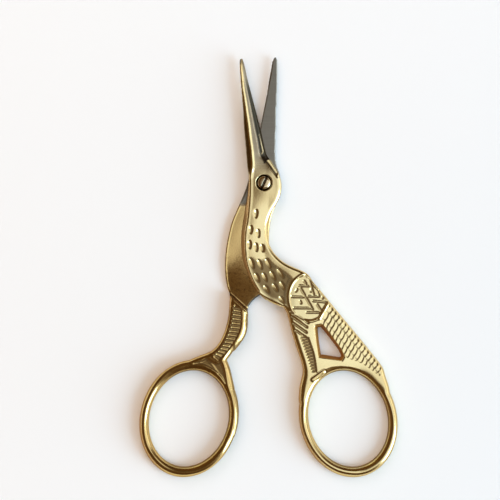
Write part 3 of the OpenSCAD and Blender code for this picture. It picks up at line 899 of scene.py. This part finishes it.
class Nodes:
    """A small help to write a node tree in lines."""

    def __init__(self, tree, output):
        self.tree = tree
        self.tree.nodes.clear()
        self.out = self.tree.nodes.new(output)

    def add(self, kind, inputs=(), **props):
        node = self.tree.nodes.new(kind)
        for key, value in props.items():
            setattr(node, key, value)
        for key, value in dict(inputs).items():
            self.put(node.inputs[key], value)
        return node

    def put(self, socket, value):
        if isinstance(value, bpy.types.NodeSocket):
            self.tree.links.new(value, socket)
        elif socket.type == "RGBA" and len(value) == 3:
            socket.default_value = (*value, 1)
        else:
            socket.default_value = value

    def math(self, op, a, b=0.5, clamp=False):
        return self.add("ShaderNodeMath", {0: a, 1: b}, operation=op, use_clamp=clamp).outputs[0]

    def dot(self, a, b):
        return self.add("ShaderNodeVectorMath", {0: a, 1: b}, operation="DOT_PRODUCT").outputs["Value"]

    def mix(self, factor, a, b):
        """Two colours mixed."""
        node = self.add("ShaderNodeMix", {"Factor": factor}, data_type="RGBA")
        first, second = [s for s in node.inputs if s.type == "RGBA"]
        self.put(first, a)
        self.put(second, b)
        return [s for s in node.outputs if s.type == "RGBA"][0]

    def blend(self, factor, a, b):
        """Two numbers mixed."""
        return self.add("ShaderNodeMix", {"Factor": factor, 2: a, 3: b}, data_type="FLOAT").outputs[0]

    def noise(self, where, scale, detail=2.0, roughness=0.5):
        inputs = {"Vector": where, "Scale": scale, "Detail": detail, "Roughness": roughness}
        return self.add("ShaderNodeTexNoise", inputs).outputs[0]

    def ramp(self, value, start, stop, low, high, kind="LINEAR"):
        """low where the value is at the start, high where it is at the stop."""
        inputs = {"Value": value, "From Min": start, "From Max": stop, "To Min": low, "To Max": high}
        return self.add("ShaderNodeMapRange", inputs, interpolation_type=kind).outputs[0]

    def finish(self, shader):
        self.tree.links.new(shader.outputs[0], self.out.inputs["Surface"])


def material(name):
    """A new material and the help that writes its nodes."""
    mat = bpy.data.materials.new(name)
    mat.use_nodes = True
    return mat, Nodes(mat.node_tree, "ShaderNodeOutputMaterial")


def plated(name, gold, bare, worn_and_sheen):
    """Gold plate over steel: gold on the handles, bare ground steel on the blades, painted shade, brown, in
    the hollows.
    """
    mat, m = material(name)
    spot = m.add("ShaderNodeTexCoord").outputs["Object"]
    place = m.add("ShaderNodeSeparateXYZ", {0: spot}).outputs
    mark = {k: m.add("ShaderNodeAttribute", attribute_name=k).outputs["Fac"] for k in MARKS}
    normal = m.add("ShaderNodeNewGeometry").outputs["True Normal"]
    # towards the blades the gold is rubbed paler; where a face lies flat it gets a painted sheen, paler too
    fade = m.ramp(place["Y"], -0.011, 0.0005, 0.0, 1.0, "SMOOTHSTEP")
    flat = m.ramp(m.dot(normal, (0.0, 0.0, 1.0)), 0.93, 0.995, 0.0, 0.8)
    colour = m.mix(m.math("MAXIMUM", fade, flat), gold, worn_and_sheen)
    colour = m.mix(m.math("MULTIPLY", mark["tarnish"], 0.7), colour, TARNISH)
    patch = m.noise(spot, 260.0, 3.0, 0.6)
    colour = m.mix(m.math("MULTIPLY", patch, 0.25), colour, PATCH)
    speck = m.ramp(m.noise(spot, 1500.0), 0.52, 0.66, 0.0, 0.75)
    speck = m.math("MULTIPLY", speck, m.math("SUBTRACT", mark["tarnish"], 0.35, True))
    colour = m.mix(speck, colour, SPECK)
    low = m.ramp(place["Y"], -0.043, -0.035, 0.45, 0.0, "SMOOTHSTEP")
    colour = m.mix(low, colour, LOW_ON_BOWS)
    # the flanks that face left get painted shade: browner and less like metal
    facing = m.ramp(m.dot(normal, LEFT_WAY), 0.55, 0.85, 0.0, 0.8, "SMOOTHSTEP")
    flank = m.math("MULTIPLY", facing, m.ramp(place["Z"], 0.0015, 0.0019, 0.2, 1.0))
    colour = m.mix(flank, colour, LEFT_SHADE_BROWN)
    colour = m.mix(m.math("MULTIPLY", mark["rust"], 0.9), colour, RUST)
    # painted shade, brown, in hollows and creases
    hollow_shade = m.math("MULTIPLY", mark["cavity_shade"], 0.8, True)
    colour = m.mix(hollow_shade, colour, SHADE_BROWN)
    # the steel's grinding lines run across the blades
    grain = m.add("ShaderNodeMapping", {"Vector": spot, "Scale": (300.0, 5000.0, 900.0)}).outputs[0]
    lines = m.noise(grain, 1.0, 3.0)
    steel = m.mix(m.math("MULTIPLY", lines, 0.5), bare, tuple(0.5 * c for c in bare))
    steel = m.mix(mark["ground"], steel, GROUND_STEEL)
    colour = m.mix(mark["steel"], colour, steel)
    # painted shade, near black, in gaps and grooves and on the blade's left flank
    colour = m.mix(m.math("MULTIPLY", mark["dark_shade"], 0.85, True), colour, SHADE_BLACK)
    rough = m.math("ADD", m.math("MULTIPLY", patch, 0.08), 0.10)
    rough = m.math("MAXIMUM", rough, m.math("MULTIPLY", mark["rust"], 0.6))
    rough = m.blend(mark["steel"], rough, 0.34)
    pits = m.math("MULTIPLY", m.noise(spot, 2600.0), 0.4)
    height = m.math("ADD", m.math("MULTIPLY", lines, mark["steel"]), pits)
    bump = m.add("ShaderNodeBump", {"Strength": 0.25, "Distance": 0.00004, "Height": height}).outputs[0]
    # the painted shade and the rust aren't metal: they show their own brown whatever they reflect
    shade_and_rust = m.math("MAXIMUM", m.math("MULTIPLY", hollow_shade, 0.4), flank)
    shade_and_rust = m.math("MAXIMUM", shade_and_rust, m.math("MULTIPLY", mark["rust"], 0.95))
    metal = m.math("SUBTRACT", 1.0, m.math("MULTIPLY", shade_and_rust, 0.75), True)
    look = {"Base Color": colour, "Metallic": metal, "Roughness": rough, "Normal": bump}
    look["Specular Tint"] = GRAZING_GOLD
    look["Specular IOR Level"] = 0.2
    m.finish(m.add("ShaderNodeBsdfPrincipled", look))
    return mat


def turned(name, colour, rough):
    """Turned metal with fine unevenness, and painted shade in the slot and round the shoulder."""
    mat, m = material(name)
    spot = m.add("ShaderNodeTexCoord").outputs["Object"]
    noise = m.noise(spot, 900.0)
    base = m.mix(m.math("MULTIPLY", noise, 0.3), colour, tuple(0.8 * c for c in colour))
    dark_shade = m.add("ShaderNodeAttribute", attribute_name="dark_shade").outputs["Fac"]
    base = m.mix(m.math("MULTIPLY", dark_shade, 0.85), base, SLOT_SHADE_BLACK)
    bump = m.add("ShaderNodeBump", {"Strength": 0.2, "Distance": 0.00003, "Height": noise}).outputs[0]
    look = {"Base Color": base, "Metallic": 1.0, "Roughness": rough, "Normal": bump}
    look["Specular Tint"] = GRAZING_BRONZE
    m.finish(m.add("ShaderNodeBsdfPrincipled", look))
    return mat


# Pieces


def screw_fields():
    """The slotted screw: a low dome with a steep shoulder, a driver slot across it, and the shank below."""
    lo, hi = (np.array(c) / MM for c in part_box("pivot_screw"))
    radius, high = (hi[0] - lo[0]) / 2, hi[2]
    turn = np.linspace(0, 2 * math.pi, 96, endpoint=False)
    plan = Plan([radius * np.stack([np.cos(turn), np.sin(turn)], 1)])
    r = np.hypot(plan.X, plan.Y)
    zt = high - 0.05 * (r / radius) ** 2 - 0.22 * np.clip((r - 0.8) / 0.6, 0, 1) ** 2
    t = math.radians(SLOT_TURN)
    across = -math.sin(t) * plan.X + math.cos(t) * plan.Y
    off = np.abs(across)
    zt = zt - SLOT_DEPTH * ease((SLOT_WIDTH / 2 + 0.05 - off) / 0.1)
    zb = np.where(r < SHANK, lo[2], high - 0.95)
    # painted shade in the driver slot, wider on one side, and in the gap round the head's shoulder
    slot_shade = ease((SLOT_WIDTH / 2 + 0.11 + 0.04 * (across > 0) - off) / 0.06)
    dark_shade = np.maximum(slot_shade, 0.8 * ease((r - 1.24) / 0.12))
    even = np.ones(r.shape)
    return plan, zt, zb, 0.22 * even, 0.4 * even, KEEN * even, dict(dark_shade=dark_shade)


PIECES = (
    ("front_casting", "front_half", "front", "front_gold", front_fields, CELL_FRONT),
    ("back_casting", "back_half", "back", "back_gold", back_fields, CELL_BACK),
    ("screw", "pivot_screw", "back", "screw_steel", screw_fields, CELL_SCREW),
)
FINISH = {
    "front_casting": plated("front_plate", (0.95, 0.77, 0.39), (0.57, 0.49, 0.35), (0.98, 0.88, 0.52)),
    "back_casting": plated("back_plate", (0.84, 0.63, 0.28), (0.435, 0.425, 0.375), (0.76, 0.59, 0.28)),
    "screw": turned("screw_bronze", (0.88, 0.73, 0.47), 0.2),
}
for name, node, body, slot, fields, cell in PIECES:
    piece = surface(fields(), name, cell)
    piece.data.materials.append(FINISH[name])
    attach(piece, body)
    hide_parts(node)

# Stage, light and camera. From here on lengths are in metres.

bpy.ops.mesh.primitive_plane_add(size=1.6)
floor = bpy.context.object
floor.name = "floor"
paper, m = material("floor")
m.finish(m.add("ShaderNodeBsdfPrincipled", {"Base Color": (0.90, 0.90, 0.90, 1), "Roughness": 0.9}))
floor.data.materials.append(paper)

# the studio: a bright window low on the right, a dark warm room elsewhere
WINDOW_WAY = Vector((0.985, -0.174, 0.0)).normalized()
WINDOW_ASIDE = Vector((-WINDOW_WAY.y, WINDOW_WAY.x, 0.0))
NARROWING = -0.9
ROOM = (
    (-1.0, (0.13, 0.065, 0.02)), (-0.6, (0.09, 0.05, 0.02)), (-0.25, (0.12, 0.072, 0.032)),
    (0.0, (0.17, 0.112, 0.06)), (0.12, (0.30, 0.26, 0.21)), (0.3, (0.96, 0.97, 0.96)),
    (0.5, (1.42, 1.44, 1.44)), (1.0, (1.42, 1.44, 1.44)),
)
# a pale wall far behind the table, seen only at the horizon
WALL_MIDDLE = 0.009
WALL_REACH = 0.033
WALL = (0.88, 0.88, 0.88)
world = bpy.data.worlds.new("studio")
bpy.context.scene.world = world
world.use_nodes = True
w = Nodes(world.node_tree, "ShaderNodeOutputWorld")
way = w.add("ShaderNodeTexCoord").outputs["Generated"]
aside = w.math("ABSOLUTE", w.dot(way, WINDOW_ASIDE))
terms = {0: aside, 1: NARROWING, 2: w.dot(way, WINDOW_WAY)}
toward = w.add("ShaderNodeMath", terms, operation="MULTIPLY_ADD").outputs[0]
ramp = w.add("ShaderNodeValToRGB", {0: w.ramp(toward, -1.0, 1.0, 0.0, 1.0)})
stops = ramp.color_ramp.elements
while len(stops) < len(ROOM):
    stops.new(0.5)
for stop, (where, colour) in zip(stops, ROOM):
    stop.position = (where + 1) / 2
for stop, (where, colour) in zip(stops, ROOM):
    stop.color = (*colour, 1)
height = w.add("ShaderNodeSeparateXYZ", {0: way}).outputs["Z"]
at_wall = w.add("ShaderNodeMath", {0: height, 1: WALL_MIDDLE, 2: WALL_REACH}, operation="COMPARE")
seen = w.mix(at_wall.outputs[0], ramp.outputs[0], WALL)
w.finish(w.add("ShaderNodeBackground", {"Color": seen, "Strength": 1.0}))


def lamp(name, where, size, power, colour, aim=(0, -0.014, 0)):
    """An area lamp that looks at a place and isn't seen by the camera."""
    light = bpy.data.lights.new(name, "AREA")
    light.shape = "RECTANGLE"
    light.size, light.size_y = size
    light.energy = power
    light.color = colour
    obj = bpy.data.objects.new(name, light)
    bpy.context.collection.objects.link(obj)
    obj.location = where
    obj.rotation_euler = (Vector(aim) - Vector(where)).to_track_quat("-Z", "Y").to_euler()
    obj.visible_camera = False
    return obj


COOL = (0.51, 0.765, 0.96)
WARM = (1.0, 0.575, 0.30)
PALE = (0.84, 0.94, 0.93)
BLUE = (0.52, 0.8, 1.0)
lamp("key", (0.96, -0.44, 0.54), (0.60, 1.0), 11.8, (0.51, 0.775, 1.0))
# lamps that the metal doesn't mirror
for soft in (
    lamp("broad", (1.10, -0.50, 0.95), (2.2, 2.2), 12.4, COOL),
    lamp("fill", (-0.55, 0.46, 1.4), (2.8, 2.8), 19.1, WARM),
    lamp("sky", (-0.4, 0.3, 1.4), (2.0, 2.0), 8.2, PALE),
    lamp("veil", (-0.05, 0.16, 0.2), (0.1, 0.1), 0.065, BLUE, (-0.05, 0.0, 0)),
):
    soft.visible_glossy = False
# a bright ceiling over the right of the scissors, in steps, that only the metal mirrors
CARD_EDGE = Vector((0.002, -0.025, 0.25))
CARD_WAY = Vector((0.99, -0.1, 0.0))
CARD_SIZE = (0.4, 0.18)
CARD_LIFT = 0.002
CARD_COLOUR = (0.95, 0.98, 1.0)
# each step's start along the way, and the radiance it adds
CARD_STEPS = (
    (0.0, 0.32), (0.005, 0.06), (0.010, 0.13), (0.015, 0.09), (0.019, 0.09), (0.023, 0.10), (0.027, 0.12),
    (0.032, 0.16),
)
for k, (start, radiance) in enumerate(CARD_STEPS):
    where = CARD_EDGE + CARD_WAY * (start + CARD_SIZE[0] / 2) + Vector((0, 0, CARD_LIFT * k))
    power = radiance * math.pi * CARD_SIZE[0] * CARD_SIZE[1]
    card = lamp(f"card_{k}", where, CARD_SIZE, power, CARD_COLOUR)
    card.rotation_euler = (0, 0, math.atan2(CARD_WAY.y, CARD_WAY.x))
    card.visible_diffuse = False

# the camera looks straight down; the picture is this wide at the table
CAMERA_HIGH = 0.6
PICTURE_WIDE = 0.105
SENSOR = 36
cam_data = bpy.data.cameras.new("camera")
cam = bpy.data.objects.new("camera", cam_data)
bpy.context.collection.objects.link(cam)
cam.location = (-0.00294, -0.01407, CAMERA_HIGH)
cam.rotation_euler = (0, 0, 0)
cam_data.sensor_width = SENSOR
cam_data.lens = SENSOR * CAMERA_HIGH / PICTURE_WIDE
cam_data.clip_start = 0.01
cam_data.clip_end = 10
bpy.context.scene.camera = cam
bpy.context.scene.view_settings.view_transform = "Standard"
